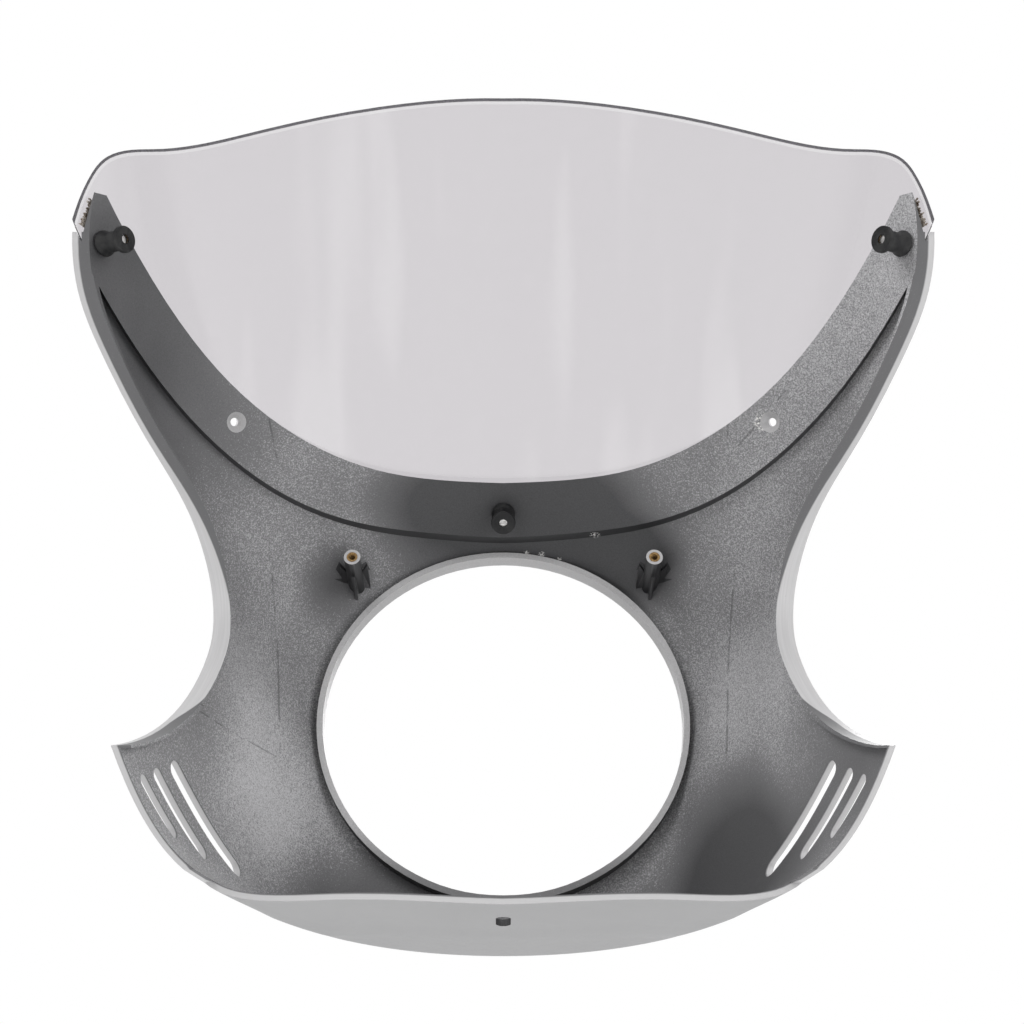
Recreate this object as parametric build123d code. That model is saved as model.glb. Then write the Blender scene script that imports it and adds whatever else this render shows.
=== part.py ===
from build123d import *
from collections import namedtuple
from math import atan2, cos, degrees, radians, sin
import os

# A motorcycle headlight cowl with a clear screen: millimetres, +Z up, +Y to the front of the
# motorcycle. The origin is the centre of the lamp opening in its front plane.

# Lamp opening and its collar
lamp_radius = 90.0
collar_wall = 3.0
collar_depth = 9.0

# Thicknesses and fits of the moulded shell and the screen
shell_wall = 3.0
screen_thickness = 3.0
screen_gap = 1.0
screen_edge_clearance = 0.4
joggle_web = 3.0
lip_width = 7.5
lip_thickness = 2.5
flange_lip = 0.5

# The outer form: sections across the motorcycle, which open from the nose ring to the rear plane
nose_radius = 91.5
nose_lead = 1.0
form_depth = 215.0
form_steps = 10
step_growth = 2.0
nose_rounding = 13.0
crown_rear_height = 299.0
keel_drop = 119.5
crown_bulge = 1.1
Keyline = namedtuple("Keyline", "nose_angle rear_x rear_z bulge_x bulge_z")
rounded = 0
rear_first = 2
flattest_normal = 0.4
keylines = [
    Keyline(-77, 95, -117.5, 0.50, rounded),
    Keyline(-60, 164, -110.5, 0.50, rounded),
    Keyline(-32, 179, -62, 0.60, 1.00),
    Keyline(4, 188, 25, 0.66, 1.00),
    Keyline(25, 208, 196, 0.60, 1.45),
    Keyline(48, 186, 246, 0.66, 1.16),
    Keyline(72, 95, 285, 0.77, 1.16),
]

# Side view of the open rear edge, as (y, z): cheek, fork waist, wing and chin
side_line = [
    (-197, 215), (-183, 164), (-169, 138), (-149, 121), (-111, 97), (-78, 75.5),
    (-61, 47), (-76.5, 1), (-109, -42), (-151, -70),
]
wing_rear = [(-137.5, -84.5), (-121.5, -100), (-111, -109)]
chin_rear = (-97.0, -110.5)

# Front view of the joggle, the flange and the screen, as (x, z) on the right-hand side
joggle_line = [(0, 100), (54, 98.3), (109, 102.5), (156, 122), (183, 148), (194, 165), (204, 186)]
flange_line = [(0, 116.5), (53, 115.2), (102, 123.2), (139, 140), (169.3, 167.7), (183, 186.5)]
flange_tab = [(183.0, 186.5), (187.5, 184.5), (191.5, 166.0)]
screen_top = [
    (0, 254), (72, 244.5), (122, 231.5), (163, 217.5), (176, 212), (185, 204), (190, 194), (194.2, 179),
    (197.5, 158),
]

# Louvre slots, each with its width and its ends as (y, z) in the side view
slots = [
    (6.0, (-133.0, -76.0), (-109.0, -94.5)),
    (7.0, (-122.5, -69.5), (-87.0, -96.5)),
    (8.5, (-109.5, -61.5), (-62.0, -96.0)),
]

# Drain slot in the chin
drain_width = 6.5
drain_length = 16.0
drain_y = -69.5

# Lamp bracket bosses
boss_x = 76.0
boss_z = 73.0
boss_tip = -42.0
boss_radius = 4.2
gusset_span = 14.0
gusset_height = 15.0
gusset_thickness = 1.6
insert_radius = 2.7
insert_bore = 1.7
insert_length = 8.0
insert_clearance = 0.05
boss_drill_extra = 5.0

# Screen fixings
centre_fixing = (0.0, 111.0)
corner_fixing = (189.8, 166.5)
spare_hole = (134.8, 125.5)
flange_hole_radius = 5.1
screen_hole_radius = 3.0
nut_head_radius = 6.0
nut_head_thickness = 0.4
nut_shank_radius = 4.9
nut_bulge_radius = 5.4
nut_waist_radius = 4.7
nut_end_radius = 6.2
nut_end_thickness = 2.4
nut_length = 15.0
nut_bore = 2.7
bush_radius = 3.6
bush_length = 8.0
bush_inset = 0.6
screw_radius = 2.5
thread_clearance = 0.1
screw_head_radius = 4.7
screw_head_height = 2.8
screw_crown_radius = 2.8
screw_edge_height = 0.9
screw_socket = 3.0
screw_tip_inset = 3.0
washer_radius = 6.2
washer_thickness = 1.0
seat_clearance = 0.15
curve_allowance = 0.45

# Sealant left between the flange tab and the screen, as (x, z) in the front view
sealant_strip = [(184.0, 182.0), (187.3, 182.5), (189.3, 175.5), (186.8, 174.5)]

# Tool lengths that only need to clear the form
reach = 300.0
over = 10.0


def eased(share, bulge):
    """How far a keyline has gone to its rear place, at a share of the form's depth."""
    if bulge == rounded:
        left = max(0.0, 1 - share * form_depth / nose_rounding)
        return (1 - left ** 2) ** 0.5
    return share ** bulge


def key_point(key, share):
    """Place of one keyline at a share of the form's depth."""
    nose_x = nose_radius * cos(radians(key.nose_angle))
    nose_z = nose_radius * sin(radians(key.nose_angle))
    x = nose_x + (key.rear_x - nose_x) * eased(share, key.bulge_x)
    z = nose_z + (key.rear_z - nose_z) * eased(share, key.bulge_z)
    return x, z


def section_points(share):
    """Points of the form's right half across the motorcycle, run a little past the middle."""
    y = nose_lead - (form_depth + nose_lead) * share
    keel = -nose_radius - (keel_drop - nose_radius) * eased(share, rounded)
    crown = nose_radius + (crown_rear_height - nose_radius) * eased(share, crown_bulge)
    right = [key_point(key, share) for key in keylines]
    before = (-right[0][0], right[0][1])
    after = (-right[-1][0], right[-1][1])
    return [Vector(x, y, z) for x, z in [before, (0, keel)] + right + [(0, crown), after]]


def lofted(rings):
    """Closed solid through open rings of points, each closed by a straight line."""
    wires = []
    for ring in rings:
        wires.append(Wire([Spline(*ring), Line(ring[-1], ring[0])]))
    return Solid.make_loft(wires)


def outer_form():
    """Closed solid inside the smooth outside face that the shell and the screen share."""
    return lofted([section_points((step / form_steps) ** step_growth) for step in range(form_steps + 1)])


def sunk(skin, ring, depth, flat):
    """A ring of points moved under the skin, in the ring's own plane where it is flat."""
    moved = []
    for point in ring:
        normal = skin.normal_at(point)
        if normal.X * point.X + normal.Z * point.Z < 0:
            normal = -normal
        if point.X == 0:
            normal = Vector(0, normal.Y, normal.Z)
        across = Vector(normal.X, 0, normal.Z)
        if flat:
            moved.append(point - across.normalized() * depth / max(across.length, flattest_normal))
        else:
            moved.append(point - normal.normalized() * depth)
    return moved


def inner_form(skin, depth, first=0):
    """Closed solid that lies at a depth inside the outer form."""
    rings = []
    for step in range(first, form_steps + 1):
        ring = section_points((step / form_steps) ** step_growth)
        rings.append(sunk(skin, ring, depth, step in (first, form_steps)))
    return lofted(rings)


def mirrored(points):
    """Points of a symmetric line from left to right, given its right-hand half."""
    return [(-x, z) for x, z in reversed(points[1:])] + points


def front_line(points):
    """Spline in the front view."""
    return Spline(*[(x, 0, z) for x, z in points])


def front_prism(edges):
    """Solid along Y over a closed front-view outline."""
    return extrude(Face(Wire(edges)).translate((0, over, 0)), amount=reach, dir=(0, -1, 0))


def above(line):
    """Everything above a front-view line that runs from left to right."""
    start = line @ 0
    end = line @ 1
    left_top = Vector(-reach, 0, reach)
    right_top = Vector(reach, 0, reach)
    left_low = Vector(-reach, 0, start.Z)
    right_low = Vector(reach, 0, end.Z)
    rest = Polyline(end, right_low, right_top, left_top, left_low, start)
    return front_prism([line] + list(rest.edges()))


def beside(corners):
    """Everything above and outside a flange tab, given its front-view corners."""
    inner, outer, low = [Vector(x, 0, z) for x, z in corners]
    far_low = Vector(reach, 0, low.Z)
    far_top = Vector(reach, 0, reach)
    frame = Polyline(inner, outer, low, far_low, far_top, Vector(inner.X, 0, reach), close=True)
    return front_prism(list(frame.edges()))


def lowered(line, distance, count=24):
    """Front-view line offset to its lower side."""
    points = []
    for step in range(count + 1):
        along = line % (step / count)
        side = Vector(along.Z, 0, -along.X)
        points.append(line @ (step / count) + side * distance)
    return Spline(*points)


def side_prism(edges):
    """Solid over a closed side-view outline, from the middle plane to the right."""
    return extrude(Face(Wire(edges)), amount=reach, dir=(1, 0, 0))


def side_edge(shift=0.0):
    """Rear edge line of cheek, waist and wing, moved forward by a shift."""
    return Spline(*[Vector(0, y + shift, z) for y, z in side_line])


def body_region():
    """Side-view region that the shell keeps, in front of its open rear edge."""
    edge = side_edge()
    heel = [edge @ 1] + [Vector(0, y, z) for y, z in wing_rear]
    rear = Spline(*heel)
    frame = Polyline(
        heel[-1], Vector(0, *chin_rear), Vector(0, chin_rear[0], -reach), Vector(0, 0, -reach),
        Vector(0, 0, reach), Vector(0, side_line[0][0], reach), edge @ 0)
    return side_prism([edge, rear] + list(frame.edges()))


def room_region():
    """Side-view region where the inside is hollowed, which leaves the return lip at the rear edge."""
    edge = side_edge(lip_thickness)
    top = edge @ 0
    tip = edge @ 1
    frame = Polyline(
        tip, Vector(0, tip.Y - over, tip.Z - over / 2), Vector(0, -reach, tip.Z - over),
        Vector(0, -reach, -reach), Vector(0, over, -reach), Vector(0, over, reach), Vector(0, top.Y, reach), top)
    return side_prism([edge] + list(frame.edges()))


def placed(skin, fixing):
    """Plane on the skin at a front-view place, with its normal outward."""
    x, z = fixing
    hits = skin.find_intersection_points(Axis((abs(x), 0, z), (0, 1, 0)))
    point, normal = max(hits, key=lambda hit: hit[0].Y)
    if normal.Y < 0:
        normal = -normal
    if x == 0:
        normal = Vector(0, normal.Y, normal.Z)
    if x < 0:
        point = Vector(-point.X, point.Y, point.Z)
        normal = Vector(-normal.X, normal.Y, normal.Z)
    return Plane(origin=point, z_dir=normal)


def turned(plane, profile):
    """Solid of revolution about a fixing's axis, from (radius, height) points."""
    outline = Polyline(*[(radius, 0, height) for radius, height in profile], close=True)
    solid = revolve(Face(Wire(outline.edges())), Axis.Z)
    return plane.location * solid


def rod(plane, radius, low, high):
    """Cylinder on a fixing's axis between two heights."""
    return turned(plane, [(0, low), (radius, low), (radius, high), (0, high)])


def collar():
    """Tube round the lamp opening."""
    outer = Cylinder(lamp_radius + collar_wall, collar_depth, rotation=(90, 0, 0))
    return Pos(0, -collar_depth / 2, 0) * outer


def lamp_hole():
    """Cutter of the lamp opening."""
    return Cylinder(lamp_radius, 2 * reach, rotation=(90, 0, 0))


def boss(side):
    """Lamp bracket boss with its crossed gussets, before its foot is trimmed."""
    post = Pos(side * boss_x, boss_tip / 2, boss_z) * Cylinder(boss_radius, -boss_tip, rotation=(90, 0, 0))
    half = gusset_span / 2
    top = boss_tip + gusset_height
    left = [(-half, 0), (-half, top - half), (-boss_radius, top)]
    right = [(boss_radius, top), (half, top - half), (half, 0)]
    outline = Polyline(*left, *right, close=True)
    fin = extrude(Plane.XY * Face(Wire(outline.edges())), amount=gusset_thickness / 2, both=True)
    cross = fin + fin.rotate(Axis.Y, 90)
    return post + Pos(side * boss_x, 0, boss_z) * cross


def boss_bore(side):
    """Hole for the brass insert and its drill run-out."""
    seat = insert_radius + insert_clearance
    depth = insert_length + boss_drill_extra
    middle = boss_tip + depth / 2
    return Pos(side * boss_x, middle, boss_z) * Cylinder(seat, depth, rotation=(90, 0, 0))


def boss_insert(side):
    """Brass threaded insert in the tip of a boss."""
    middle = boss_tip + insert_length / 2
    ring = Cylinder(insert_radius, insert_length) - Cylinder(insert_bore, insert_length)
    return Pos(side * boss_x, middle, boss_z) * ring.rotate(Axis.X, 90)


def louvre_slots():
    """Cutters of the slots in the right wing."""
    cutters = []
    for width, start, end in slots:
        first = Vector(*start)
        last = Vector(*end)
        middle = (first + last) / 2
        run = last - first
        length = run.length
        angle = degrees(atan2(run.Y, run.X))
        shape = SlotOverall(length, width, rotation=angle)
        face = Plane.YZ * Pos(middle.X, middle.Y) * shape
        cutters.append(extrude(face, amount=reach))
    return cutters


def drain_slot():
    """Cutter of the drain in the chin."""
    shape = SlotOverall(drain_length, drain_width, rotation=90)
    return extrude(Pos(0, drain_y, -reach / 2) * shape, amount=reach / 2 - lamp_radius)


def flange_depth():
    """Depth of the flange's inner face under the skin."""
    return screen_thickness + screen_gap + shell_wall


def stepped(low, high, region):
    """One form outside a region and another inside it."""
    return (low - region) + (high & region)


def both_sides(half):
    """A right-hand half joined to its mirror image."""
    return half + mirror(half, about=Plane.YZ)


def shell_half(form, skin):
    """Right half of the moulded wall with its joggled flange and return lip."""
    joggle = front_line(mirrored(joggle_line))
    above_joggle = above(joggle)
    above_web = above(lowered(joggle, joggle_web))
    flange_face = inner_form(skin, screen_thickness + screen_gap, rear_first)
    flange_back = inner_form(skin, flange_depth(), rear_first)
    wall = stepped(form, flange_face, above_joggle) & body_region()
    wall -= inner_form(skin, max(lip_width, flange_depth() + flange_lip), rear_first)
    wall -= stepped(inner_form(skin, shell_wall) & room_region(), flange_back, above_web)
    wall -= above(front_line(mirrored(flange_line)))
    wall -= beside(flange_tab)
    wall += boss(1) & inner_form(skin, shell_wall / 2)
    wall -= louvre_slots()
    return wall


def cowl_shell(form, skin, fixings, spares):
    """The moulded shell, as one piece."""
    wall = both_sides(shell_half(form, skin)) + collar()
    wall -= [lamp_hole()] + [boss_bore(side) for side in (-1, 1)]
    wall -= drain_slot()
    for plane in fixings + spares:
        wall -= rod(plane, flange_hole_radius, -flange_depth() - over / 2, -screen_thickness)
    return wall


def windscreen(form, skin, fixings, spares):
    """The clear screen, flush with the shell outside."""
    joggle = front_line(mirrored(joggle_line))
    low = lowered(joggle, -screen_edge_clearance)
    top = front_line(mirrored(screen_top))
    frame = Polyline(top @ 1, Vector(screen_top[-1][0], 0, 0), Vector(-screen_top[-1][0], 0, 0), top @ 0)
    outline = front_prism([top] + list(frame.edges()))
    right_hand = Pos(reach / 2, 0, 0) * Box(reach, 2 * reach, 2 * reach)
    panel = (form & outline & above(low) & right_hand) - inner_form(skin, screen_thickness, rear_first)
    panel = both_sides(panel)
    for plane in fixings + spares:
        panel -= rod(plane, screen_hole_radius, -screen_thickness - over, over)
    return panel


def well_nut(plane):
    """Rubber well nut, squeezed behind the flange."""
    head = -screen_thickness - curve_allowance
    seat = head - nut_head_thickness
    back = -flange_depth() - curve_allowance
    end = -flange_depth() - nut_length
    waist = end + nut_end_thickness
    bulge = (back + waist) / 2
    bush_seat = bush_radius + insert_clearance
    bush_end = end + bush_inset + bush_length
    profile = [
        (nut_bore, head), (nut_head_radius, head), (nut_head_radius, seat), (nut_shank_radius, seat),
        (nut_shank_radius, back), (nut_bulge_radius, back), (nut_bulge_radius, bulge),
        (nut_waist_radius, waist + seat_clearance), (nut_waist_radius, waist), (nut_end_radius, waist),
        (nut_end_radius, end), (bush_seat, end), (bush_seat, bush_end), (nut_bore, bush_end)]
    return turned(plane, profile)


def nut_bush(plane):
    """Brass bush bonded in the well nut."""
    low = -flange_depth() - nut_length + bush_inset
    bore = rod(plane, screw_radius + thread_clearance, low, low + bush_length)
    return rod(plane, bush_radius, low, low + bush_length) - bore


def screw(plane):
    """Button-head screw through screen, flange and nut."""
    base = washer_thickness + seat_clearance
    tip = -flange_depth() - nut_length + screw_tip_inset
    profile = [
        (0, tip), (screw_radius, tip), (screw_radius, base), (screw_head_radius, base),
        (screw_head_radius, base + screw_edge_height), (screw_crown_radius, base + screw_head_height),
        (0, base + screw_head_height)]
    socket = extrude(RegularPolygon(screw_socket / 2, 6, major_radius=False), amount=screw_head_height)
    socket = Pos(0, 0, base + screw_edge_height) * socket
    return turned(plane, profile) - plane.location * socket


def washer(plane):
    """Soft washer under a screw head."""
    low = seat_clearance
    high = washer_thickness + seat_clearance
    return rod(plane, washer_radius, low, high) - rod(plane, screen_hole_radius, low, high)


def sealant(skin):
    """Strip of old sealant between the right flange tab and the screen."""
    front = inner_form(skin, screen_thickness + seat_clearance, rear_first)
    back = inner_form(skin, screen_thickness + screen_gap - seat_clearance, rear_first)
    corners = [Vector(x, 0, z) for x, z in sealant_strip]
    strip = front_prism(list(Polyline(*corners, close=True).edges()))
    return (front & strip) - back


form = outer_form()
skin = form.faces().filter_by(GeomType.PLANE, reverse=True).sort_by(Axis.X)[-1]
centre = placed(skin, centre_fixing)
sides = {"left": -1, "right": 1}
corners = {name: placed(skin, (side * corner_fixing[0], corner_fixing[1])) for name, side in sides.items()}
spares = [placed(skin, (side * spare_hole[0], spare_hole[1])) for side in sides.values()]
fixings = {"centre": centre, **corners}

nodes = {}
nodes["cowl_shell"] = cowl_shell(form, skin, list(fixings.values()), spares)
nodes["windscreen"] = windscreen(form, skin, list(fixings.values()), spares)
for name, plane in fixings.items():
    nodes[f"well_nut_{name}"] = well_nut(plane)
    nodes[f"nut_bush_{name}"] = nut_bush(plane)
    nodes[f"screen_screw_{name}"] = screw(plane)
    nodes[f"screen_washer_{name}"] = washer(plane)
for name, side in sides.items():
    nodes[f"boss_insert_{name}"] = boss_insert(side)

bead = sealant(skin)
nodes["corner_sealant_right"] = bead
nodes["corner_sealant_left"] = mirror(bead, about=Plane.YZ)

os.makedirs("parts", exist_ok=True)
for name, shape in nodes.items():
    export_step(shape, f"parts/{name}.step")
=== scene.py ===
from math import cos, hypot, pi, radians, sin

import bmesh
import bpy
import numpy as np
from mathutils import Matrix, Vector
from mathutils.bvhtree import BVHTree


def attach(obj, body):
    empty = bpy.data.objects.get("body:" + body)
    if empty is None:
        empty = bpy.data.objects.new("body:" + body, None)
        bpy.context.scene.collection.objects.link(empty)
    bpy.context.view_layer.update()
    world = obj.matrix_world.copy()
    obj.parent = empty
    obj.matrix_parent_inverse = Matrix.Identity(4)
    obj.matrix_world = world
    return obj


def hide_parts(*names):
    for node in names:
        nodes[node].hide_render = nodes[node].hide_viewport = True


# A motorcycle headlight cowl with a clear screen, seen from behind and below. All sizes are in metres.

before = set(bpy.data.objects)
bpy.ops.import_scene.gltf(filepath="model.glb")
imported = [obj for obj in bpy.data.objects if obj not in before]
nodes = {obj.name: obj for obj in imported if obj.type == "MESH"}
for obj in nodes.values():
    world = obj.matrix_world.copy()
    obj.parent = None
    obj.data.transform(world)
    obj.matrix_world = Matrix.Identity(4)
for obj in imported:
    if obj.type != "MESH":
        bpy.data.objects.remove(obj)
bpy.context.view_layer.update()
sides = {"left": -1, "right": 1}
fixings = ("centre", "left", "right")

# Camera of the photograph
eye = Vector((0.0, -0.788, -0.318))
upward_tilt = radians(29.2)
lens_width = 36.0
lens_length = 58.89
frame_shift = 0.0085

# Meshes
weld_distance = 2e-6
crease_angle = radians(28)
turned_steps = 48

# Regions of the shell
shell_regions = ("outside", "rim", "opening", "shaded_recess", "inside")
opening_radius = 0.090
collar_depth = 0.009
collar_thickness = 0.0035
region_slack = 0.0003
square_slack = 0.04
least_wall = 4 * region_slack
level_normal = 0.5
facing_back = -0.9
groove_height = 0.092
skin_rays = [
    ((0.13, 1, 0), (0, -1, 0)),
    ((-0.13, 1, 0), (0, -1, 0)),
    ((0, -0.05, -1), (0, 0, 1)),
    ((1, -0.10, 0.1), (-1, 0, 0)),
    ((-1, -0.10, 0.1), (1, 0, 0)),
]
flange_rays = [((0.03, 1, 0.108), (0, -1, 0))]
spare_hole_room = ((0.127, -0.105, 0.117), (0.143, 0, 0.135))
drain_room = ((-0.001, -0.094, -0.130), (0.009, -0.050, -0.090))
spare_hole_taper = 0.40
spare_hole_reach = 0.0072
boss_place = (0.076, -0.042, 0.073)
boss_reach = 0.0095
boss_foot = -0.0165
boss_waist = -0.033

# Chin, whose lower outline is made one arc: reach and fade sideways as tangents, then fades in
# depth and height
chin_columns = 120
chin_reach = 0.188
chin_reach_fade = (0.160, 0.188)
chin_depth_fade = (-0.088, -0.055)
chin_height_fade = (-0.098, -0.075)

# Rays that meet the screen's two faces
screen_outer_rays = [((0, 1, 0.2), (0, -1, 0))]
screen_inner_rays = [((0, -1, 0.2), (0, 1, 0))]

# Well nut, as (radius, height) along its axis from the middle of its bush
nut_profile = [
    (0.0027, 0.0139), (0.0060, 0.0139), (0.0060, 0.0135), (0.0049, 0.0134),
    (0.0049, 0.0100), (0.0057, 0.0098), (0.0061, 0.0091), (0.0060, 0.0083),
    (0.0054, 0.0074), (0.0049, 0.0062), (0.0047, 0.0046), (0.0047, -0.0017),
    (0.0050, -0.0021), (0.0058, -0.0023), (0.0062, -0.0027), (0.0062, -0.0042),
    (0.0059, -0.0046), (0.0021, -0.0046), (0.0020, -0.0041), (0.0036, -0.0040),
    (0.0036, 0.0040), (0.0027, 0.0040),
]

# Screw tips, inserts and sealant
tip_advance = 0.0018
tip_length = 0.001
insert_bore = 0.0017
insert_radius = 0.0026
insert_length = 0.008
thread_pitch = 0.0007
thread_ridge = 0.00022
thread_steps = 20
ridge_corners = 4
knurl_count = 26
knurl_tooth = (0.0003, 0.00022, 0.0082)
smear_line = [(0.1893, 0.1835), (0.1902, 0.1780), (0.1912, 0.1740), (0.1922, 0.1695)]
smear_steps = 26
smear_half_width = 0.0014
smear_thickness = 0.0004
smear_section = ((-1, 1), (1, 1), (1, -0.2), (-1, -0.2))
smear_mean = 0.75
smear_sway = 0.25
smear_sway_rate = 2.3
smear_swell = 0.2
smear_swell_rate = 5.1
crumb_radius = 0.0004
crumb_sizes = (0.5, 1.6)
crumb_density = 500000.0
crumb_seed = 7

# Return lip: where its painted width changes, along the height, and its widths outside and in the waist
waist_foot = (-0.046, -0.022)
waist_head = (0.020, 0.105)
rim_widths = (0.0027, 0.0082)

# Opening: heights between which its coat is thin below and whole above
opening_foot = (-0.088, -0.050)

# Marks inside the shell, in the front view: mould witness lines and worn spots
witness_lines = [
    ((-0.1165, 0, 0.0660), (-0.1074, 0, -0.0260)),
    ((0.1165, 0, 0.0665), (0.1074, 0, -0.0260)),
    ((-0.1870, 0, -0.0270), (-0.1430, 0, -0.0300)),
    ((-0.1430, 0, -0.0300), (-0.1090, 0, -0.0290)),
    ((0.1870, 0, -0.0270), (0.1570, 0, -0.0285)),
    ((0.1110, 0, 0.1400), (0.1120, 0, 0.1135)),
    ((0.1120, 0, 0.1135), (0.1375, 0, 0.1320)),
    ((-0.1160, 0, 0.1270), (-0.1130, 0, 0.1130)),
]
witness_width = 0.0006

# Where the overspray inside the shell is thin, or thick where the last number is negative: middle,
# radius and how much is missing. The spots along the lower collar are painted shade, not thin spray.
spray_and_shade_spots = [
    ((0.0, -0.025, 0.112), 0.085, 0.60),
    ((-0.045, -0.030, 0.112), 0.040, 0.30),
    ((-0.190, -0.150, 0.165), 0.100, 0.42),
    ((-0.150, -0.110, 0.110), 0.070, 0.26),
    ((0.045, -0.015, 0.100), 0.060, 0.60),
    ((0.172, -0.120, -0.065), 0.075, 0.40),
    # Painted shade: these five spots darken the inside along the lower collar, where the collar shades
    # the chin
    ((0.100, -0.040, -0.068), 0.050, 0.50),
    ((0.083, -0.040, -0.098), 0.050, 0.65),
    ((0.050, -0.035, -0.115), 0.050, 0.55),
    ((0.125, -0.060, -0.098), 0.055, 0.50),
    ((-0.055, -0.030, -0.105), 0.065, 0.60),
    ((-0.078, -0.030, 0.062), 0.032, 0.70),
    ((0.065, -0.030, 0.070), 0.036, 0.85),
    ((-0.096, -0.045, -0.048), 0.068, -0.28),
    ((0.190, -0.150, 0.160), 0.090, -0.14),
    ((0.110, -0.055, 0.000), 0.060, -0.14),
    ((-0.105, -0.045, 0.010), 0.050, -0.12),
]
chip_spots = [
    ((0.0475, -0.024, 0.0975), 0.0040),
    ((0.0620, -0.028, 0.0985), 0.0028),
    ((0.0120, -0.009, 0.0922), 0.0022),
    ((0.0200, -0.009, 0.0910), 0.0026),
    ((0.0290, -0.009, 0.0886), 0.0022),
    ((0.1290, -0.088, 0.1245), 0.0062),
]

# Grains, as noise cycles in a metre
flake_grain = 2600.0
droplet_grain = 1500.0
opening_grain = 1300.0
torn_grain = 900.0
edge_grain = 800.0
peel_grain = 700.0
chip_grain = 420.0
line_grain = 90.0
floor_grain = 40.0
rim_streak_grain = 26.0
rim_streak_narrowing = 60.0
tone_grain = 18.0
patch_grain = 14.0
haze_grain = 9.0
screen_streak_grain = 3.2

# Linear colours
silver = (0.36, 0.36, 0.365, 1)
silver_rim = (0.60, 0.595, 0.60, 1)
opening_silver = (0.52, 0.515, 0.52, 1)
bare_plastic = (0.035, 0.035, 0.037, 1)
inside_plastic = (0.075, 0.075, 0.078, 1)
spray_silver = (0.66, 0.655, 0.67, 1)
chip_white = (0.80, 0.79, 0.77, 1)
screen_tint = (0.634, 0.612, 0.634, 1)
streak_tint = (0.68, 0.66, 0.68, 1)
edge_dark = (0.085, 0.075, 0.110, 1)
edge_pale = (0.58, 0.56, 0.59, 1)
screen_dust = (0.55, 0.53, 0.50, 1)
rubber_black = (0.005, 0.005, 0.006, 1)
rubber_dust = (0.022, 0.022, 0.022, 1)
brass_yellow = (0.46, 0.30, 0.13, 1)
brass_brown = (0.20, 0.12, 0.06, 1)
steel_grey = (0.80, 0.79, 0.78, 1)
steel_dark = (0.45, 0.44, 0.43, 1)
nylon_black = (0.02, 0.02, 0.021, 1)
nylon_grey = (0.05, 0.05, 0.05, 1)
sealant_white = (0.60, 0.55, 0.49, 1)
sealant_brown = (0.13, 0.085, 0.055, 1)
floor_white = (0.80, 0.80, 0.80, 1)

# Surroundings. Each lamp has its place, aim, size, power and whether it shows in gloss.
surround_light = 0.45
surround_in_gloss = 0.75
floor_height = -0.46
floor_half = 3.0
floor_glow = 0.30
lamps = [
    ("key_lamp", (-0.9, -0.9, 0.9), (0, -0.05, 0.05), 0.9, 14, False),
    ("fill_lamp", (1.0, -0.8, 0.3), (0, -0.05, 0.05), 0.9, 8, False),
    ("front_lamp", (0.2, 1.2, 0.9), (0, 0, 0), 1.0, 12, True),
]


class Wiring:
    """Adds nodes to a tree, with their settings and inputs in one call."""

    def __init__(self, tree):
        self.tree = tree

    def feed(self, socket, value):
        """Links an input to another node, or sets its value."""
        if isinstance(value, bpy.types.NodeSocket):
            self.tree.links.new(value, socket)
        else:
            socket.default_value = value

    def put(self, kind, values=None, **settings):
        made = self.tree.nodes.new(kind)
        for name, value in settings.items():
            setattr(made, name, value)
        for key, value in (values or {}).items():
            self.feed(made.inputs[key], value)
        return made

    def math(self, operation, *values, clamp=False):
        made = self.put("ShaderNodeMath", dict(enumerate(values)), operation=operation, use_clamp=clamp)
        return made.outputs[0]

    def vector_math(self, operation, *values):
        made = self.put("ShaderNodeVectorMath", dict(enumerate(values)), operation=operation)
        gives_number = operation in ("DISTANCE", "DOT_PRODUCT")
        return made.outputs["Value"] if gives_number else made.outputs[0]

    def scaled(self, vector, share):
        values = {0: vector, "Scale": share}
        return self.put("ShaderNodeVectorMath", values, operation="SCALE").outputs[0]

    def rest(self, share):
        """What is left of 1."""
        return self.math("SUBTRACT", 1.0, share)

    def ramp(self, value, low, high):
        """0 at low, 1 at high, smooth between them."""
        values = {"Value": value, "From Min": low, "From Max": high}
        made = self.put("ShaderNodeMapRange", values, interpolation_type="SMOOTHSTEP")
        return made.outputs["Result"]

    def noise(self, place, scale, detail=2.0, roughness=0.5):
        values = {"Vector": place, "Scale": scale, "Detail": detail, "Roughness": roughness}
        return self.put("ShaderNodeTexNoise", values).outputs["Fac"]

    def blend(self, share, first, second):
        """Colour between two colours."""
        return self.put("ShaderNodeMix", {0: share, 6: first, 7: second}, data_type="RGBA").outputs[2]

    def lerp(self, share, first, second):
        """Number between two numbers."""
        values = {"Value": share, "To Min": first, "To Max": second}
        return self.put("ShaderNodeMapRange", values).outputs["Result"]

    def bump(self, height, distance, strength):
        values = {"Height": height, "Distance": distance, "Strength": strength}
        return self.put("ShaderNodeBump", values).outputs["Normal"]


def effect(name, inputs, outputs):
    """A shader node group with named inputs and outputs, and its wiring."""
    tree = bpy.data.node_groups.new(name, "ShaderNodeTree")
    for socket_name, kind, value in inputs:
        socket = tree.interface.new_socket(socket_name, in_out="INPUT", socket_type=kind)
        if value is not None:
            socket.default_value = value
    for socket_name, kind in outputs:
        tree.interface.new_socket(socket_name, in_out="OUTPUT", socket_type=kind)
    wiring = Wiring(tree)
    source = wiring.put("NodeGroupInput").outputs
    sink = wiring.put("NodeGroupOutput").inputs
    return tree, wiring, source, sink


NUMBER = "NodeSocketFloat"
COLOUR = "NodeSocketColor"
PLACE = "NodeSocketVector"


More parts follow.
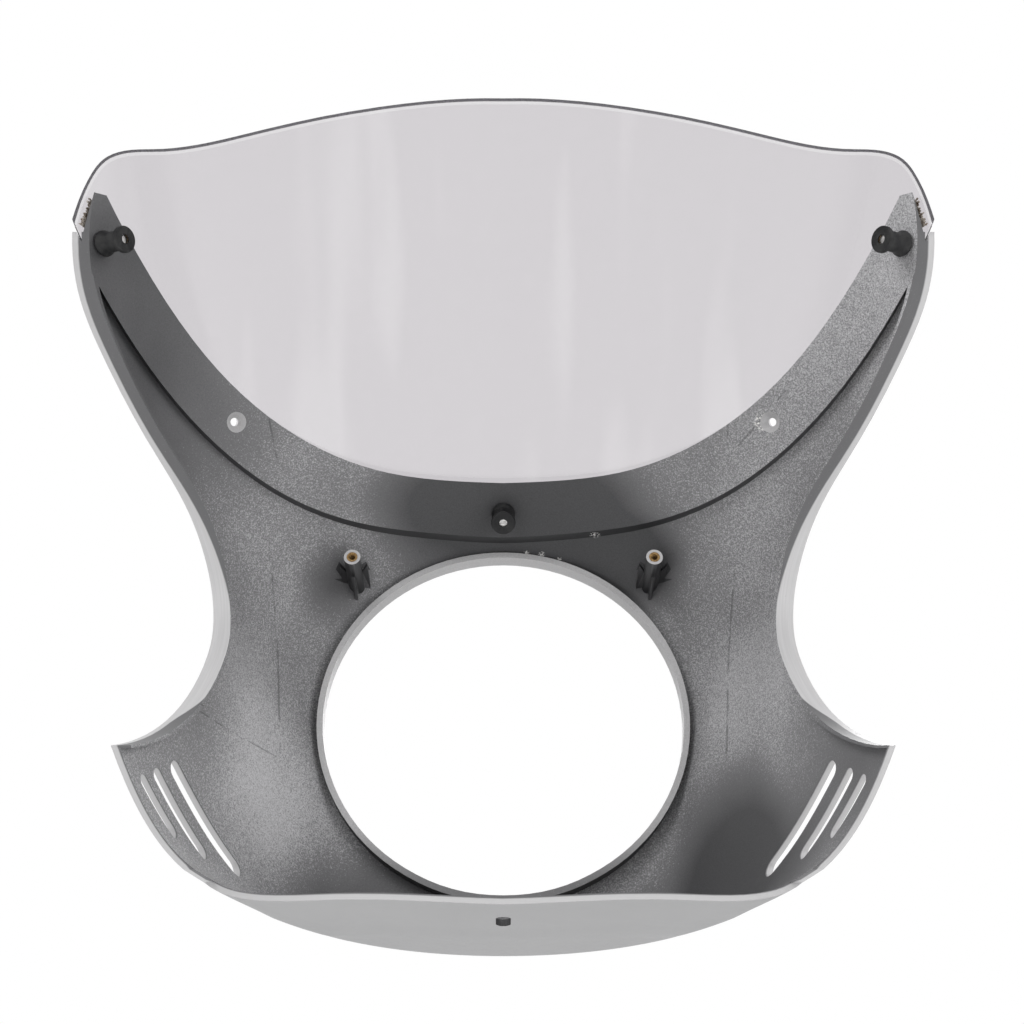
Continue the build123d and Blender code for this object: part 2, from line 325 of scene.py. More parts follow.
def spray_effect():
    """Silver spray that thins out to the plastic under it, as fine droplets."""
    inputs = [("Place", PLACE, None), ("Cover", NUMBER, 0.5), ("Droplets", NUMBER, droplet_grain),
              ("Plastic", COLOUR, bare_plastic), ("Silver", COLOUR, spray_silver)]
    tree, wiring, source, sink = effect("silver_spray", inputs, [("Color", COLOUR), ("Height", NUMBER)])
    fine = wiring.noise(source["Place"], source["Droplets"], 1.0, 0.6)
    coarse_scale = wiring.math("MULTIPLY", source["Droplets"], 0.45)
    coarse = wiring.noise(source["Place"], coarse_scale, 2.0, 0.7)
    droplet = wiring.lerp(0.35, fine, coarse)
    lowest = wiring.lerp(source["Cover"], 0.78, 0.12)
    highest = wiring.math("ADD", lowest, 0.34)
    covered = wiring.ramp(droplet, lowest, highest)
    speckled = wiring.blend(covered, source["Plastic"], source["Silver"])
    mist_share = wiring.math("MULTIPLY", source["Cover"], 0.8)
    mist = wiring.blend(mist_share, source["Plastic"], source["Silver"])
    tree.links.new(wiring.blend(0.55, speckled, mist), sink["Color"])
    tree.links.new(droplet, sink["Height"])
    return tree


def scuff_effect():
    """Sparse marks: chips, dust or stains, more of them with a higher amount."""
    inputs = [("Place", PLACE, None), ("Scale", NUMBER, 200.0), ("Amount", NUMBER, 0.3)]
    tree, wiring, source, sink = effect("scuffs", inputs, [("Mask", NUMBER)])
    grain = wiring.noise(source["Place"], source["Scale"], 4.0, 0.65)
    low = wiring.lerp(source["Amount"], 0.80, 0.45)
    high = wiring.math("ADD", low, 0.05)
    tree.links.new(wiring.ramp(grain, low, high), sink["Mask"])
    return tree


def spot_effect():
    """A soft round spot about a place."""
    inputs = [("Place", PLACE, None), ("Middle", PLACE, None),
              ("Radius", NUMBER, 0.01), ("Softness", NUMBER, 0.5)]
    tree, wiring, source, sink = effect("spot", inputs, [("Mask", NUMBER)])
    away = wiring.vector_math("DISTANCE", source["Place"], source["Middle"])
    share = wiring.math("DIVIDE", away, source["Radius"])
    core = wiring.rest(source["Softness"])
    tree.links.new(wiring.rest(wiring.ramp(share, core, 1.0)), sink["Mask"])
    return tree


def scribe_effect():
    """A thin straight line in the front view, between two places."""
    inputs = [("Place", PLACE, None), ("Start", PLACE, None), ("End", PLACE, None),
              ("Width", NUMBER, witness_width)]
    tree, wiring, source, sink = effect("scribed_line", inputs, [("Mask", NUMBER)])
    flat = (1.0, 0.0, 1.0)
    place = wiring.vector_math("MULTIPLY", source["Place"], flat)
    run = wiring.vector_math("SUBTRACT", source["End"], source["Start"])
    from_start = wiring.vector_math("SUBTRACT", place, source["Start"])
    along = wiring.vector_math("DOT_PRODUCT", from_start, run)
    length_squared = wiring.vector_math("DOT_PRODUCT", run, run)
    share = wiring.math("DIVIDE", along, length_squared, clamp=True)
    nearest = wiring.vector_math("ADD", source["Start"], wiring.scaled(run, share))
    away = wiring.vector_math("DISTANCE", place, nearest)
    inner = wiring.math("MULTIPLY", source["Width"], 0.4)
    tree.links.new(wiring.rest(wiring.ramp(away, inner, source["Width"])), sink["Mask"])
    return tree


effects = {
    "spray": spray_effect(),
    "scuffs": scuff_effect(),
    "spot": spot_effect(),
    "scribe": scribe_effect(),
}


class Finish(Wiring):
    """One material: a Principled shader, with the object's own coordinates at hand."""

    def __init__(self, name):
        self.material = bpy.data.materials.new(name)
        self.material.use_nodes = True
        super().__init__(self.material.node_tree)
        self.shader = self.tree.nodes["Principled BSDF"]
        self.place = self.put("ShaderNodeTexCoord").outputs["Object"]

    def use(self, name, **values):
        """Places a shared effect, which reads the object's own coordinates."""
        values["Place"] = self.place
        return self.put("ShaderNodeGroup", values, node_tree=effects[name]).outputs

    def height(self):
        """Height of the place on the object."""
        return self.put("ShaderNodeSeparateXYZ", {"Vector": self.place}).outputs["Z"]

    def depth(self):
        """Distance from the outer skin, which the mesh carries."""
        return self.put("ShaderNodeAttribute", attribute_name="from_skin").outputs["Fac"]

    def either(self, *masks):
        """Union of masks."""
        total = masks[0]
        for mask in masks[1:]:
            total = self.math("MAXIMUM", total, mask)
        return total

    def done(self, **sockets):
        """Sets or links the shader's inputs, with _ for a space in a name."""
        for key, value in sockets.items():
            self.feed(self.shader.inputs[key.replace("_", " ")], value)
        return self.material


def paint_finish(name, colour):
    """Silver paint with metal flakes, a little orange peel and small chips."""
    finish = Finish(name)
    flake = finish.noise(finish.place, flake_grain, 1.0)
    tone = finish.noise(finish.place, tone_grain, 3.0)
    shade = finish.math("ADD", finish.lerp(flake, 0.90, 1.10), finish.lerp(tone, -0.05, 0.05))
    tinted = finish.scaled(colour[:3], shade)
    chip = finish.use("scuffs", Scale=chip_grain, Amount=0.12)["Mask"]
    peel = finish.noise(finish.place, peel_grain, 2.0)
    return finish.done(
        Base_Color=finish.blend(chip, tinted, bare_plastic), Metallic=0.35,
        Roughness=finish.lerp(flake, 0.33, 0.46),
        Normal=finish.bump(peel, 0.00002, 0.4))


def rim_finish(name, plastic):
    """Worn silver on the return lip, broad in the fork waist and a narrow line above and below it."""
    finish = Finish(name)
    depth = finish.depth()
    height = finish.height()
    below = finish.ramp(height, *waist_foot)
    above = finish.rest(finish.ramp(height, *waist_head))
    width = finish.lerp(finish.math("MULTIPLY", below, above), *rim_widths)
    past = finish.math("SUBTRACT", depth, width)
    bare = finish.ramp(past, -0.0007, 0.0001)
    across = finish.math("MULTIPLY", depth, rim_streak_narrowing)
    along = finish.put("ShaderNodeCombineXYZ", {"X": across, "Z": height}).outputs[0]
    streak = finish.noise(along, rim_streak_grain, 3.0, 0.6)
    shade = finish.lerp(streak, 0.84, 1.14)
    tinted = finish.scaled(silver_rim[:3], shade)
    spray = finish.use("spray", Cover=0.28, Plastic=plastic)
    coat = finish.blend(bare, tinted, spray["Color"])
    chip = finish.use("scuffs", Scale=chip_grain, Amount=0.2)["Mask"]
    return finish.done(
        Base_Color=finish.blend(chip, coat, bare_plastic), Metallic=0.3,
        Roughness=finish.lerp(streak, 0.38, 0.5),
        Normal=finish.bump(spray["Height"], 0.00004, 0.5))


def opening_finish(name, plastic):
    """Silver inside the collar, which is thin and speckled at its foot."""
    finish = Finish(name)
    height = finish.height()
    foot = finish.rest(finish.ramp(height, *opening_foot))
    grain = finish.noise(finish.place, opening_grain, 2.0)
    shade = finish.lerp(grain, 0.80, 1.18)
    tinted = finish.scaled(opening_silver[:3], shade)
    spray = finish.use("spray", Cover=0.34, Plastic=plastic)
    coat = finish.blend(finish.math("MULTIPLY", foot, 0.85), tinted, spray["Color"])
    chip = finish.use("scuffs", Scale=chip_grain, Amount=0.16)["Mask"]
    return finish.done(
        Base_Color=finish.blend(chip, coat, bare_plastic), Metallic=0.25,
        Roughness=finish.lerp(grain, 0.42, 0.6),
        Normal=finish.bump(grain, 0.00004, 0.5))


def inside_finish(name, plastic, spray_share):
    """Dark moulded plastic inside the shell, with silver overspray that is thin in places,
    and painted shade along the lower collar.
    """
    finish = Finish(name)
    spray_cover_and_shade = finish.lerp(finish.noise(finish.place, patch_grain, 3.0), 0.36, 0.76)
    # Thin overspray, and painted shade along the lower collar, taken off the cover
    for middle, radius, missing in spray_and_shade_spots:
        spot = finish.use("spot", Middle=middle, Radius=radius, Softness=0.85)["Mask"]
        spray_cover_and_shade = finish.math("SUBTRACT", spray_cover_and_shade, finish.math("MULTIPLY", spot, missing))
    spray_cover_and_shade = finish.math("MULTIPLY", spray_cover_and_shade, spray_share, clamp=True)
    spray = finish.use("spray", Cover=spray_cover_and_shade, Plastic=plastic)
    lines = [
        finish.use("scribe", Start=start, End=end, Width=witness_width)["Mask"]
        for start, end in witness_lines]
    broken = finish.ramp(finish.noise(finish.place, line_grain, 2.0), 0.38, 0.52)
    line = finish.math("MULTIPLY", finish.either(*lines), broken)
    marked = finish.blend(finish.math("MULTIPLY", line, 0.42), spray["Color"], bare_plastic)
    smear = finish.use("scuffs", Scale=35.0, Amount=0.30)["Mask"]
    smeared = finish.blend(finish.math("MULTIPLY", smear, 0.2), marked, bare_plastic)
    chips = [
        finish.use("spot", Middle=middle, Radius=radius, Softness=0.4)["Mask"]
        for middle, radius in chip_spots]
    torn = finish.ramp(finish.noise(finish.place, torn_grain, 3.0), 0.50, 0.58)
    chipped = finish.blend(finish.math("MULTIPLY", finish.either(*chips), torn), smeared, chip_white)
    shade = finish.lerp(finish.noise(finish.place, droplet_grain, 2.0, 0.7), 0.62, 1.38)
    grained = finish.scaled(chipped, shade)
    height = finish.math("SUBTRACT", spray["Height"], finish.math("MULTIPLY", line, 1.5))
    return finish.done(
        Base_Color=grained, Metallic=0.2, Roughness=finish.lerp(spray["Height"], 0.42, 0.62),
        Normal=finish.bump(height, 0.00010, 0.6))


def screen_finish():
    """Clear screen with a faint warm tint, dust and fine specks."""
    finish = Finish("clear_screen")
    speck = finish.use("scuffs", Scale=260.0, Amount=0.10)["Mask"]
    haze = finish.noise(finish.place, haze_grain, 2.0)
    upright = finish.vector_math("MULTIPLY", finish.place, (9.0, 1.0, 1.4))
    streak = finish.ramp(finish.noise(upright, screen_streak_grain, 2.0), 0.50, 0.66)
    tint = finish.blend(streak, screen_tint, streak_tint)
    dusty = finish.blend(finish.math("MULTIPLY", speck, 0.6), tint, screen_dust)
    return finish.done(
        Base_Color=dusty, Transmission_Weight=1.0, IOR=1.49,
        Roughness=finish.math("ADD", finish.lerp(haze, 0.0, 0.03), finish.math("MULTIPLY", speck, 0.3)))


def screen_edge_finish():
    """Cut edge of the screen: clear, with a dark line along its inner corner."""
    finish = Finish("screen_edge")
    depth = finish.depth()
    grain = finish.noise(finish.place, edge_grain, 2.0)
    inward = finish.ramp(finish.math("ADD", depth, finish.lerp(grain, -0.0001, 0.0001)), 0.0018, 0.0024)
    return finish.done(
        Base_Color=finish.blend(inward, edge_pale, edge_dark), Roughness=finish.lerp(grain, 0.25, 0.4),
        Alpha=finish.lerp(inward, 0.12, 0.9),
        Normal=finish.bump(grain, 0.00002, 0.5))


def two_tone_finish(name, first, second, scale, bump_depth, metallic=0.0, low=0.45, high=0.7):
    """A finish that wanders between two colours, with its grain as bump."""
    finish = Finish(name)
    patch = finish.noise(finish.place, scale, 4.0, 0.6)
    mask = finish.ramp(patch, 0.38, 0.66)
    grain = finish.noise(finish.place, scale * 6, 2.0)
    return finish.done(
        Base_Color=finish.blend(mask, first, second), Metallic=metallic,
        Roughness=finish.lerp(grain, low, high), Normal=finish.bump(grain, bump_depth, 0.7))


def floor_finish():
    """Pale floor that is white to the camera and to reflections, and keeps a soft shadow."""
    finish = Finish("pale_floor")
    path = finish.put("ShaderNodeLightPath").outputs
    seen = finish.either(path["Is Camera Ray"], path["Is Glossy Ray"], path["Is Transmission Ray"])
    grain = finish.noise(finish.place, floor_grain, 2.0)
    glow = finish.math("MULTIPLY", seen, floor_glow)
    return finish.done(
        Base_Color=floor_white, Roughness=finish.lerp(grain, 0.7, 0.8), Emission_Color=(1, 1, 1, 1),
        Emission_Strength=glow)


finishes = {
    "outside": paint_finish("silver_paint", silver),
    "rim": rim_finish("rim_paint", inside_plastic),
    "opening": opening_finish("opening_paint", inside_plastic),
    # Recesses: bare plastic with little overspray, darker partly from thin spray and partly from
    # painted shade
    "shaded_recess": inside_finish("shaded_recess_inside", bare_plastic, 0.2),
    "inside": inside_finish("sprayed_inside", inside_plastic, 1.0),
    "screen": screen_finish(),
    "screen_edge": screen_edge_finish(),
    "rubber": two_tone_finish("black_rubber", rubber_black, rubber_dust, 160.0, 0.00003),
    "brass": two_tone_finish("aged_brass", brass_yellow, brass_brown, 900.0, 0.00001, 1.0, 0.25, 0.5),
    "steel": two_tone_finish("worn_steel", steel_grey, steel_dark, 600.0, 0.00001, 1.0, 0.25, 0.45),
    "nylon": two_tone_finish("black_nylon", nylon_black, nylon_grey, 300.0, 0.00002),
    "sealant": two_tone_finish("old_sealant", sealant_white, sealant_brown, 520.0, 0.0002),
}


def add_piece(name, mesh, slot, materials, *replaced):
    """Puts a mesh in the scene as a piece that stands for its solids."""
    for material in materials:
        mesh.materials.append(material)
    piece = bpy.data.objects.new(name, mesh)
    bpy.context.scene.collection.objects.link(piece)
    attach(piece, "root")
    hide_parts(*replaced)


def merged_form(node):
    """A solid's mesh with its triangles joined, smooth between its creases."""
    form = bmesh.new()
    form.from_mesh(nodes[node].data)
    bmesh.ops.remove_doubles(form, verts=form.verts, dist=weld_distance)
    for face in form.faces:
        face.smooth = True
        face.material_index = 0
    for edge in form.edges:
        edge.smooth = edge.calc_face_angle(pi) < crease_angle
    form.faces.ensure_lookup_table()
    form.normal_update()
    return form


def finished_mesh(form, name):
    """Turns a working form into a mesh."""
    mesh = bpy.data.meshes.new(name)
    form.to_mesh(mesh)
    form.free()
    return mesh


def smooth_reach(faces):
    """Some faces and all that they reach without crossing a crease."""
    front = list(faces)
    reached = set(front)
    while front:
        for edge in front.pop().edges:
            for other in edge.link_faces:
                if edge.smooth and other not in reached:
                    reached.add(other)
                    front.append(other)
    return reached


def skin_faces(form, rays):
    """The smooth faces that some rays from outside meet."""
    form.faces.ensure_lookup_table()
    tree = BVHTree.FromBMesh(form)
    hits = [tree.ray_cast(Vector(start), Vector(direction))[2] for start, direction in rays]
    return smooth_reach(form.faces[index] for index in hits)


def measure_depth(form, skin):
    """Writes each corner's distance from the outer skin as an attribute."""
    corners = []
    polygons = []
    for face in form.faces:
        if face in skin:
            polygons.append([len(corners) + step for step in range(len(face.verts))])
            corners.extend(corner.co.copy() for corner in face.verts)
    tree = BVHTree.FromPolygons(corners, polygons)
    layer = form.verts.layers.float.new("from_skin")
    for corner in form.verts:
        corner[layer] = tree.find_nearest(corner.co)[3]
    return layer


def seen_from_camera(place):
    """A place as sideways and downward tangents from the camera, and its distance along the view."""
    across, deep, up = place - eye
    away = deep * cos(upward_tilt) + up * sin(upward_tilt)
    down = deep * sin(upward_tilt) - up * cos(upward_tilt)
    return across / away, down / away, away


def even_chin(form):
    """Lifts or lowers the front of the chin, so that its outline from the camera is one smooth arc."""
    form.verts.index_update()
    seen = np.array([seen_from_camera(corner.co)[:2] for corner in form.verts])
    pairs = np.array([[corner.index for corner in edge.verts] for edge in form.edges])
    first, second = seen[pairs[:, 0]], seen[pairs[:, 1]]
    columns = np.linspace(-chin_reach, chin_reach, chin_columns)
    outline = []
    for column in columns:
        crossing = (first[:, 0] - column) * (second[:, 0] - column) < 0
        before, after = first[crossing], second[crossing]
        share = (column - before[:, 0]) / (after[:, 0] - before[:, 0])
        outline.append((before[:, 1] + share * (after[:, 1] - before[:, 1])).max())
    powers = np.stack([columns ** 0, columns ** 2, columns ** 4], axis=1)
    arc = powers @ np.linalg.lstsq(powers, np.array(outline), rcond=None)[0]
    for corner in form.verts:
        column, row, away = seen_from_camera(corner.co)
        shift = np.interp(column, columns, arc - outline)
        shift *= np.interp(abs(column), chin_reach_fade, (1, 0))
        shift *= np.interp(corner.co.y, chin_depth_fade, (0, 1))
        shift *= np.interp(corner.co.z, chin_height_fade, (1, 0))
        corner.co.z -= float(shift) * away / (cos(upward_tilt) + row * sin(upward_tilt))


def in_room(place, room):
    """Whether a place, or its mirror image, is in a box."""
    low, high = room
    mirrored = (abs(place.x), place.y, place.z)
    return all(least < value < most for least, value, most in zip(low, mirrored, high))


def taper_spare_holes(flange):
    """Narrows the spare flange holes towards the screen, and gives their middles."""
    middles = []
    corners = {corner for face in flange for corner in face.verts}
    corners = sorted(corners, key=lambda corner: corner.index)
    for side in sides.values():
        mouth = [
            corner for corner in corners
            if corner.co.x * side > 0 and in_room(corner.co, spare_hole_room)
            and any(not edge.smooth for edge in corner.link_edges)]
        middle = sum((corner.co for corner in mouth), Vector()) / len(mouth)
        middles.append(middle)
        for corner in mouth:
            corner.co = middle.lerp(corner.co, spare_hole_taper)
    return middles


def wall_faces(form, skin, layer):
    """Faces of the rear rim and the louvre slots, which start at the skin, square to the side view."""
    walls = []
    for face in form.faces:
        depths = [corner[layer] for corner in face.verts]
        if face not in skin and min(depths) < region_slack and max(depths) > least_wall:
            if abs(face.normal.x) < square_slack:
                walls.append(face)
    return smooth_reach(walls)


def boss_region(face, middle):
    """The finish of a face of the lamp bracket's bosses, or none elsewhere."""
    away = hypot(abs(middle.x) - boss_place[0], middle.z - boss_place[2])
    if away > boss_reach or middle.y > boss_foot:
        return None
    if face.normal.y < facing_back and middle.y < boss_place[1] + region_slack:
        return "opening"
    # The foot of each boss gets painted shade
    return "shaded_recess" if middle.y > boss_waist else "inside"


def shell_region(face, skin, walls, holes):
    """Which of the shell's finishes a face has."""
    middle = face.calc_center_median()
    from_axis = max(hypot(corner.co.x, corner.co.z) for corner in face.verts)
    outward = face.normal.x * middle.x + face.normal.z * middle.z > 0
    if from_axis < opening_radius + collar_thickness and middle.y > -collar_depth - region_slack:
        # The back of the collar gets painted shade
        back_of_collar = outward and abs(face.normal.y) < level_normal and middle.y < -collar_thickness
        return "shaded_recess" if back_of_collar else "opening"
    if face in skin:
        return "outside"
    # The drain's walls get painted shade
    if in_room(middle, drain_room) and abs(face.normal.z) < square_slack:
        return "shaded_recess"
    for hole in holes:
        if all((corner.co - hole).length < spare_hole_reach for corner in face.verts):
            return "opening"
    boss = boss_region(face, middle)
    if boss:
        return boss
    if face in walls:
        return "rim"
    # The web of the joggle groove gets painted shade
    if abs(face.normal.y) < square_slack and middle.z > groove_height:
        return "shaded_recess"
    return "inside"


def painted_shell():
    """The moulded shell, with each face in the finish of its region."""
    form = merged_form("cowl_shell")
    even_chin(form)
    form.normal_update()
    skin = skin_faces(form, skin_rays)
    layer = measure_depth(form, skin)
    walls = wall_faces(form, skin, layer)
    flange = skin_faces(form, flange_rays)
    holes = taper_spare_holes(flange)
    skin |= flange
    for face in form.faces:
        face.material_index = shell_regions.index(shell_region(face, skin, walls, holes))
    materials = [finishes[region] for region in shell_regions]
    mesh = finished_mesh(form, "painted_shell")
    add_piece("painted_shell", mesh, "painted_shell", materials, "cowl_shell")


def clear_screen():
    """The screen, smooth for clean reflections, with its cut edge in a finish of its own."""
    form = merged_form("windscreen")
    outer = skin_faces(form, screen_outer_rays)
    inner = skin_faces(form, screen_inner_rays)
    measure_depth(form, outer)
    for face in form.faces:
        face.material_index = 0 if face in outer or face in inner else 1
    materials = [finishes["screen"], finishes["screen_edge"]]
    mesh = finished_mesh(form, "clear_screen")
    add_piece("clear_screen", mesh, "clear_screen", materials, "windscreen")


def middle_of(node):
    """Middle of a solid's corners."""
    places = [corner.co for corner in nodes[node].data.vertices]
    return sum(places, Vector()) / len(places)


def axis_frame(inner, outer):
    """Moves a piece made along +Z from the origin to lie from one solid's middle to another's."""
    start = middle_of(inner)
    direction = (middle_of(outer) - start).normalized()
    turn = Vector((0, 0, 1)).rotation_difference(direction).to_matrix().to_4x4()
    return Matrix.Translation(start) @ turn


def turned_form(profile):
    """Closed solid of revolution about Z from (radius, height) points listed round the section."""
    form = bmesh.new()
    rings = []
    for step in range(turned_steps):
        angle = 2 * pi * step / turned_steps
        rings.append([form.verts.new((r * cos(angle), r * sin(angle), h)) for r, h in profile])
    count = len(profile)
    for step in range(turned_steps):
        ring = rings[step]
        following = rings[(step + 1) % turned_steps]
        for place in range(count):
            after = (place + 1) % count
            form.faces.new((ring[place], following[place], following[after], ring[after]))
    bmesh.ops.remove_doubles(form, verts=form.verts, dist=weld_distance)
    bmesh.ops.recalc_face_normals(form, faces=form.faces)
    for face in form.faces:
        face.smooth = True
    for edge in form.edges:
        edge.smooth = edge.calc_face_angle(pi) < crease_angle
    return form


def advance_tip(form, stand):
    """Moves a screw's tip on inside its nut, as far as the photograph shows it."""
    form.transform(stand.inverted())
    lowest = min(corner.co.z for corner in form.verts)
    for corner in form.verts:
        if corner.co.z < lowest + tip_length:
            corner.co.z -= tip_advance
    form.transform(stand)


def growth(name, inputs):
    """A geometry node tree that adds to a mesh, with named inputs after the mesh itself."""
    tree = bpy.data.node_groups.new(name, "GeometryNodeTree")
    tree.interface.new_socket("Geometry", in_out="INPUT", socket_type="NodeSocketGeometry")
    for socket_name, kind in inputs:
        tree.interface.new_socket(socket_name, in_out="INPUT", socket_type=kind)
    tree.interface.new_socket("Geometry", in_out="OUTPUT", socket_type="NodeSocketGeometry")
    wiring = Wiring(tree)
    source = wiring.put("NodeGroupInput").outputs
    sink = wiring.put("NodeGroupOutput").inputs["Geometry"]
    return tree, wiring, source, sink


def finish_growth(wiring, source, sink, *added):
    """Joins what a tree adds to the mesh that came in, as plain geometry in one material."""
    joined = wiring.put("GeometryNodeJoinGeometry")
    for part in added:
        wiring.tree.links.new(part, joined.inputs[0])
    real = wiring.put("GeometryNodeRealizeInstances", {"Geometry": joined.outputs[0]}).outputs[0]
    coating = {"Geometry": real, "Material": source["Material"]}
    coated = wiring.put("GeometryNodeSetMaterial", coating).outputs[0]
    whole = wiring.put("GeometryNodeJoinGeometry")
    wiring.tree.links.new(coated, whole.inputs[0])
    wiring.tree.links.new(source["Geometry"], whole.inputs[0])
    wiring.tree.links.new(whole.outputs[0], sink)


def grown(mesh, tree, values):
    """The plain mesh that a tree makes of a mesh."""
    carrier = bpy.data.objects.new("carrier", mesh)
    bpy.context.scene.collection.objects.link(carrier)
    modifier = carrier.modifiers.new("growth", "NODES")
    modifier.node_group = tree
    for item in tree.interface.items_tree:
        if item.in_out == "INPUT" and item.name in values:
            modifier[item.identifier] = values[item.name]
    evaluated = carrier.evaluated_get(bpy.context.evaluated_depsgraph_get())
    made = bpy.data.meshes.new_from_object(evaluated)
    bpy.data.objects.remove(carrier)
    made.materials.clear()
    return made


def insert_growth():
    """Knurl teeth round a threaded insert and the thread in its bore, about Z."""
    inputs = [("Radius", NUMBER), ("Bore", NUMBER), ("Length", NUMBER), ("Pitch", NUMBER),
              ("Ridge", NUMBER), ("Teeth", "NodeSocketInt"), ("Tooth", PLACE),
              ("Material", "NodeSocketMaterial")]
    tree, wiring, source, sink = growth("threaded_insert", inputs)
    ring = wiring.put("GeometryNodeMeshCircle", {
        "Vertices": source["Teeth"], "Radius": source["Radius"]}).outputs[0]
    tooth = wiring.put("GeometryNodeMeshCube", {"Size": source["Tooth"]}).outputs["Mesh"]
    index = wiring.put("GeometryNodeInputIndex").outputs[0]
    turn = wiring.math("DIVIDE", wiring.math("MULTIPLY", index, 2 * pi), source["Teeth"])
    rotation = wiring.put("ShaderNodeCombineXYZ", {"Z": turn}).outputs[0]
    teeth = wiring.put("GeometryNodeInstanceOnPoints", {
        "Points": ring, "Instance": tooth, "Rotation": rotation}).outputs[0]
    turns = wiring.math("DIVIDE", source["Length"], source["Pitch"])
    spiral = wiring.put("GeometryNodeCurveSpiral", {
        "Resolution": thread_steps, "Rotations": turns, "Start Radius": source["Bore"],
        "End Radius": source["Bore"], "Height": source["Length"]}).outputs[0]
    profile = wiring.put("GeometryNodeCurvePrimitiveCircle", {
        "Resolution": ridge_corners, "Radius": source["Ridge"]}).outputs[0]
    ridge = wiring.put("GeometryNodeCurveToMesh", {
        "Curve": spiral, "Profile Curve": profile, "Fill Caps": True}).outputs[0]
    half = wiring.math("MULTIPLY", source["Length"], -0.5)
    down = wiring.put("ShaderNodeCombineXYZ", {"Z": half}).outputs[0]
    thread = wiring.put("GeometryNodeTransform", {"Geometry": ridge, "Translation": down}).outputs[0]
    finish_growth(wiring, source, sink, teeth, thread)
    return tree


def crumb_growth():
    """Crumbs of dried sealant strewn over a mesh."""
    inputs = [("Density", NUMBER), ("Radius", NUMBER), ("Seed", "NodeSocketInt"),
              ("Material", "NodeSocketMaterial")]
    tree, wiring, source, sink = growth("sealant_crumbs", inputs)
    strewn = wiring.put("GeometryNodeDistributePointsOnFaces", {
        "Mesh": source["Geometry"], "Density": source["Density"], "Seed": source["Seed"]})
    ball = wiring.put("GeometryNodeMeshIcoSphere", {"Radius": source["Radius"], "Subdivisions": 1})
    sizes = wiring.put(
        "FunctionNodeRandomValue", {2: crumb_sizes[0], 3: crumb_sizes[1], "Seed": source["Seed"]},
        data_type="FLOAT")
    crumbs = wiring.put("GeometryNodeInstanceOnPoints", {
        "Points": strewn.outputs["Points"], "Instance": ball.outputs["Mesh"],
        "Scale": sizes.outputs[1]}).outputs[0]
    finish_growth(wiring, source, sink, crumbs)
    return tree


growths = {"insert": insert_growth(), "crumbs": crumb_growth()}


def threaded_insert(side):
    """A brass insert with its knurl and thread."""
    node = f"boss_insert_{side}"
    form = merged_form(node)
    stand = Matrix.Translation(middle_of(node)) @ Matrix.Rotation(pi / 2, 4, "X")
    form.transform(stand.inverted())
    mesh = grown(finished_mesh(form, node), growths["insert"], {
        "Radius": insert_radius, "Bore": insert_bore, "Length": insert_length,
        "Pitch": thread_pitch, "Ridge": thread_ridge, "Teeth": knurl_count, "Tooth": knurl_tooth,
        "Material": finishes["brass"]})
    mesh.transform(stand)
    add_piece(f"knurled_{node}", mesh, "brass", [finishes["brass"]], node)


def dried_sealant(side, sign):
    """The sealant strip, with a dried smear beside the flange tab on the screen, and crumbs."""
    node = f"corner_sealant_{side}"
    form = merged_form(node)
    screen = merged_form("windscreen")
    tree = BVHTree.FromBMesh(screen)
    heights = np.linspace(smear_line[0][1], smear_line[-1][1], smear_steps)
    across = np.interp(-heights, [-z for _, z in smear_line], [x for x, _ in smear_line])
    rings = []
    for step, (x, z) in enumerate(zip(across, heights)):
        ring = []
        for edge, lift in smear_section:
            sway = smear_sway * sin(smear_sway_rate * step + edge)
            swell = smear_swell * sin(smear_swell_rate * step)
            width = smear_half_width * (smear_mean + sway + swell)
            start = Vector((sign * (x + edge * width), -1, z))
            place, normal, _, _ = tree.ray_cast(start, Vector((0, 1, 0)))
            ring.append(form.verts.new(place + normal * smear_thickness * lift))
        rings.append(ring)
    for ring, following in zip(rings, rings[1:]):
        for place in range(4):
            after = (place + 1) % 4
            form.faces.new((ring[place], following[place], following[after], ring[after]))
    form.faces.new(rings[0])
    form.faces.new(rings[-1])
    bmesh.ops.recalc_face_normals(form, faces=form.faces)
    screen.free()
    mesh = grown(finished_mesh(form, node), growths["crumbs"], {
        "Density": crumb_density, "Radius": crumb_radius, "Seed": crumb_seed,
        "Material": finishes["sealant"]})
    add_piece(f"dried_{node}", mesh, "old_sealant", [finishes["sealant"]], node)


def add_camera():
    """The photograph's camera."""
    data = bpy.data.cameras.new("camera")
    data.sensor_width = lens_width
    data.lens = lens_length
    data.shift_x = frame_shift
    camera = bpy.data.objects.new("camera", data)
    camera.location = eye
    camera.rotation_euler = (pi / 2 + upward_tilt, 0, 0)
    bpy.context.scene.collection.objects.link(camera)
    bpy.context.scene.camera = camera


def add_lamp(name, place, aim, size, power, in_gloss):
    """A soft square lamp that points at a place."""
    data = bpy.data.lights.new(name, "AREA")
    data.size = size
    data.energy = power
    lamp = bpy.data.objects.new(name, data)
    lamp.location = place
    lamp.rotation_euler = (Vector(aim) - Vector(place)).to_track_quat("-Z", "Y").to_euler()
    lamp.visible_transmission = False
    lamp.visible_glossy = in_gloss
    bpy.context.scene.collection.objects.link(lamp)


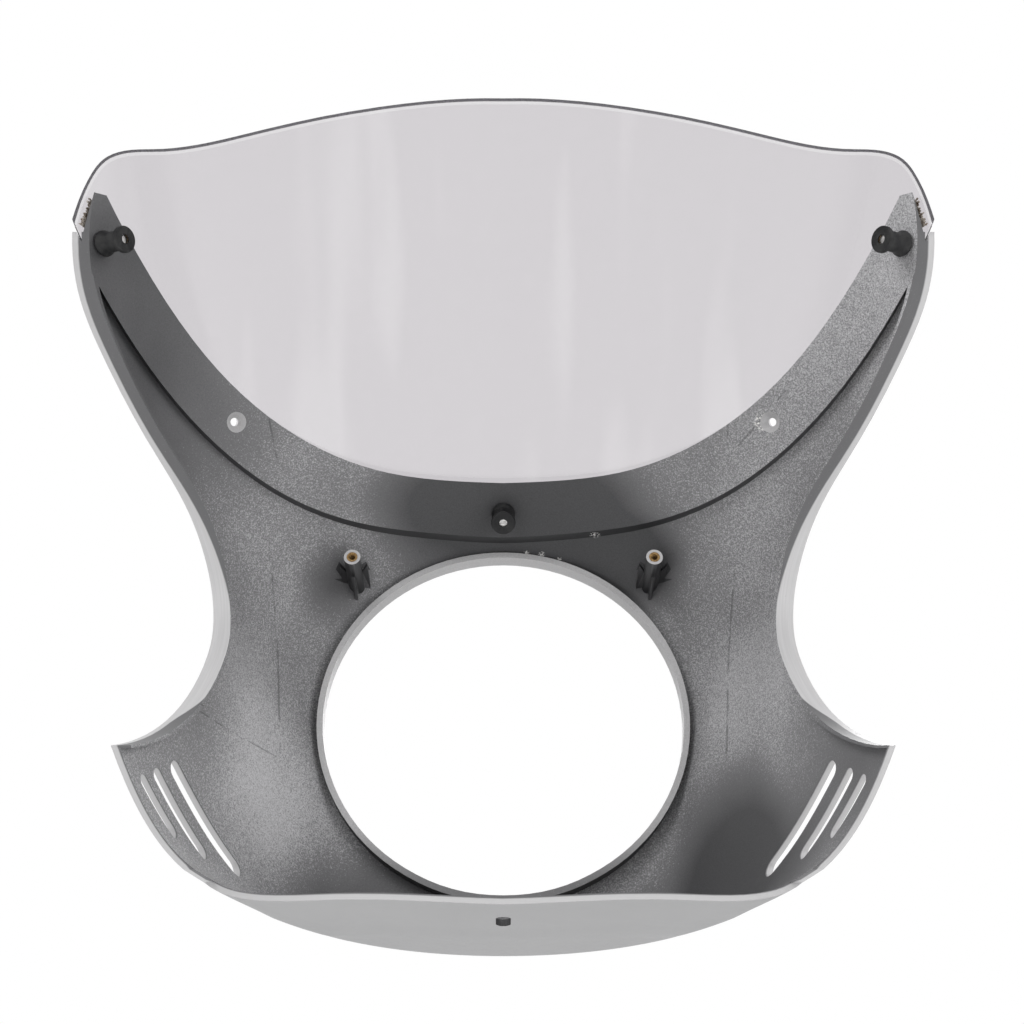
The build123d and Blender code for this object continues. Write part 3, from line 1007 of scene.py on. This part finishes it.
def add_world():
    """White surround to the camera and in reflections, soft grey light on the object."""
    world = bpy.data.worlds.new("studio")
    world.use_nodes = True
    bpy.context.scene.world = world
    wiring = Wiring(world.node_tree)
    path = wiring.put("ShaderNodeLightPath").outputs
    seen = wiring.math("MAXIMUM", path["Is Camera Ray"], path["Is Transmission Ray"])
    plain = wiring.lerp(path["Is Glossy Ray"], surround_light, surround_in_gloss)
    strength = wiring.math("MAXIMUM", seen, plain)
    background = world.node_tree.nodes["Background"]
    background.inputs["Color"].default_value = (1, 1, 1, 1)
    world.node_tree.links.new(strength, background.inputs["Strength"])


def add_floor():
    """A plain pale floor well below the cowl, which its bracket holds."""
    mesh = bpy.data.meshes.new("floor")
    quarters = ((-1, -1), (1, -1), (1, 1), (-1, 1))
    corners = [(x * floor_half, y * floor_half, floor_height) for x, y in quarters]
    mesh.from_pydata(corners, [], [(0, 1, 2, 3)])
    mesh.materials.append(floor_finish())
    floor = bpy.data.objects.new("floor", mesh)
    bpy.context.scene.collection.objects.link(floor)


painted_shell()
clear_screen()
for fixing in fixings:
    form = turned_form(nut_profile)
    form.transform(axis_frame(f"nut_bush_{fixing}", f"screen_washer_{fixing}"))
    mesh = finished_mesh(form, f"rubber_nut_{fixing}")
    add_piece(f"rubber_nut_{fixing}", mesh, "black_rubber", [finishes["rubber"]], f"well_nut_{fixing}")
small_slots = {
    "nut_bush": "brass",
    "screen_screw": "steel",
    "screen_washer": "nylon",
}
for kind, slot in small_slots.items():
    for fixing in fixings:
        node = f"{kind}_{fixing}"
        form = merged_form(node)
        if kind == "screen_screw":
            advance_tip(form, axis_frame(f"nut_bush_{fixing}", f"screen_washer_{fixing}"))
        mesh = finished_mesh(form, f"fine_{node}")
        add_piece(f"fine_{node}", mesh, slot, [finishes[slot]], node)
for side, sign in sides.items():
    threaded_insert(side)
    dried_sealant(side, sign)

add_camera()
add_world()
add_floor()
for lamp in lamps:
    add_lamp(*lamp)

bpy.context.scene.view_settings.view_transform = "Standard"
